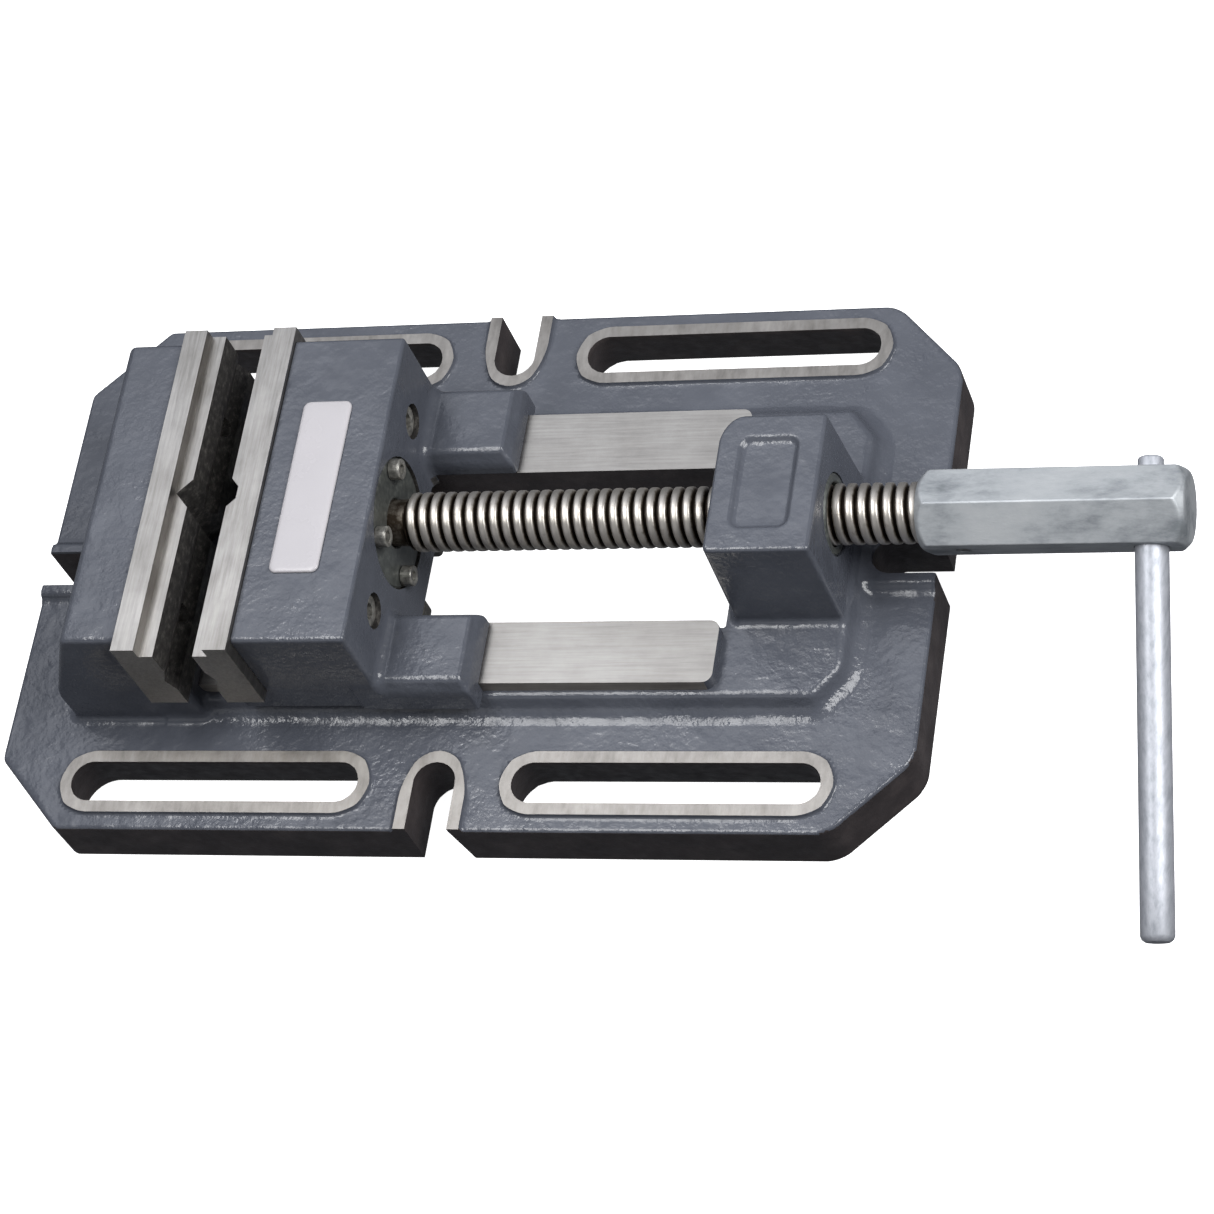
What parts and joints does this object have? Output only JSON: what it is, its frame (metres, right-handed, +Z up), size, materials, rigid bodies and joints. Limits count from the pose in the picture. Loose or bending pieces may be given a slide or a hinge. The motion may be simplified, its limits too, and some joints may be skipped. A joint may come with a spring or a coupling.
{
  "type": "machine vise",
  "caption": "Low machine vise for a drill press or mill table: slotted cast base, stepped steel jaw plates, sliding jaw on two ways, lead screw with a hexagonal hub and a straight crank bar.",
  "frame": {"origin": "on the underside of the base, below the clamping face of the fixed jaw plate, on the centre line of the screw", "axes": "+X along the lead screw from the jaws to the handle, +Y to the far rail, +Z up"},
  "size_m": [0.4903, 0.2767, 0.0903],
  "materials": {
    "cast_enamel": "gloss",
    "ground_steel": "satin",
    "dark_steel": "satin",
    "bright_steel": "satin",
    "plated_steel": "satin",
    "label_plastic": "gloss"
  },
  "bodies": {
    "base": {"base_casting": "cast_enamel", "fixed_jaw_plate": "ground_steel", "fixed_plate_screw_near": "dark_steel", "fixed_plate_screw_far": "dark_steel", "nut_bush": "dark_steel"},
    "movable_jaw": {"movable_jaw_plate": "ground_steel", "movable_jaw_casting": "cast_enamel", "retainer_plate": "dark_steel", "name_plate": "label_plastic", "retainer_screw_1": "dark_steel", "keeper_screw_1": "dark_steel", "retainer_screw_2": "dark_steel", "keeper_screw_2": "dark_steel", "retainer_screw_3": "dark_steel", "keeper_screw_3": "dark_steel", "retainer_screw_4": "dark_steel", "keeper_screw_4": "dark_steel", "movable_plate_screw_near": "dark_steel", "keeper_plate_near": "dark_steel", "movable_plate_screw_far": "dark_steel", "keeper_plate_far": "dark_steel"},
    "screw": {"lead_screw": "bright_steel", "handle_hub": "plated_steel", "hub_grub_screw": "dark_steel", "handle_bar": "plated_steel"}
  },
  "joints": [
    {"name": "jaw_slide", "type": "slide", "parent": "base", "child": "movable_jaw", "axis": [1, 0, 0], "range_m": [-0.0168, 0.13]},
    {"name": "screw_turn", "type": "hinge", "parent": "movable_jaw", "child": "screw", "pos_m": [0.2964, 0, 0.0588], "axis": [1, 0, 0], "range_deg": [-1210, 9361]}
  ],
  "couplings": [
    {"joint": "screw_turn", "follows": "jaw_slide", "rad_per_m": 1256.6}
  ]
}
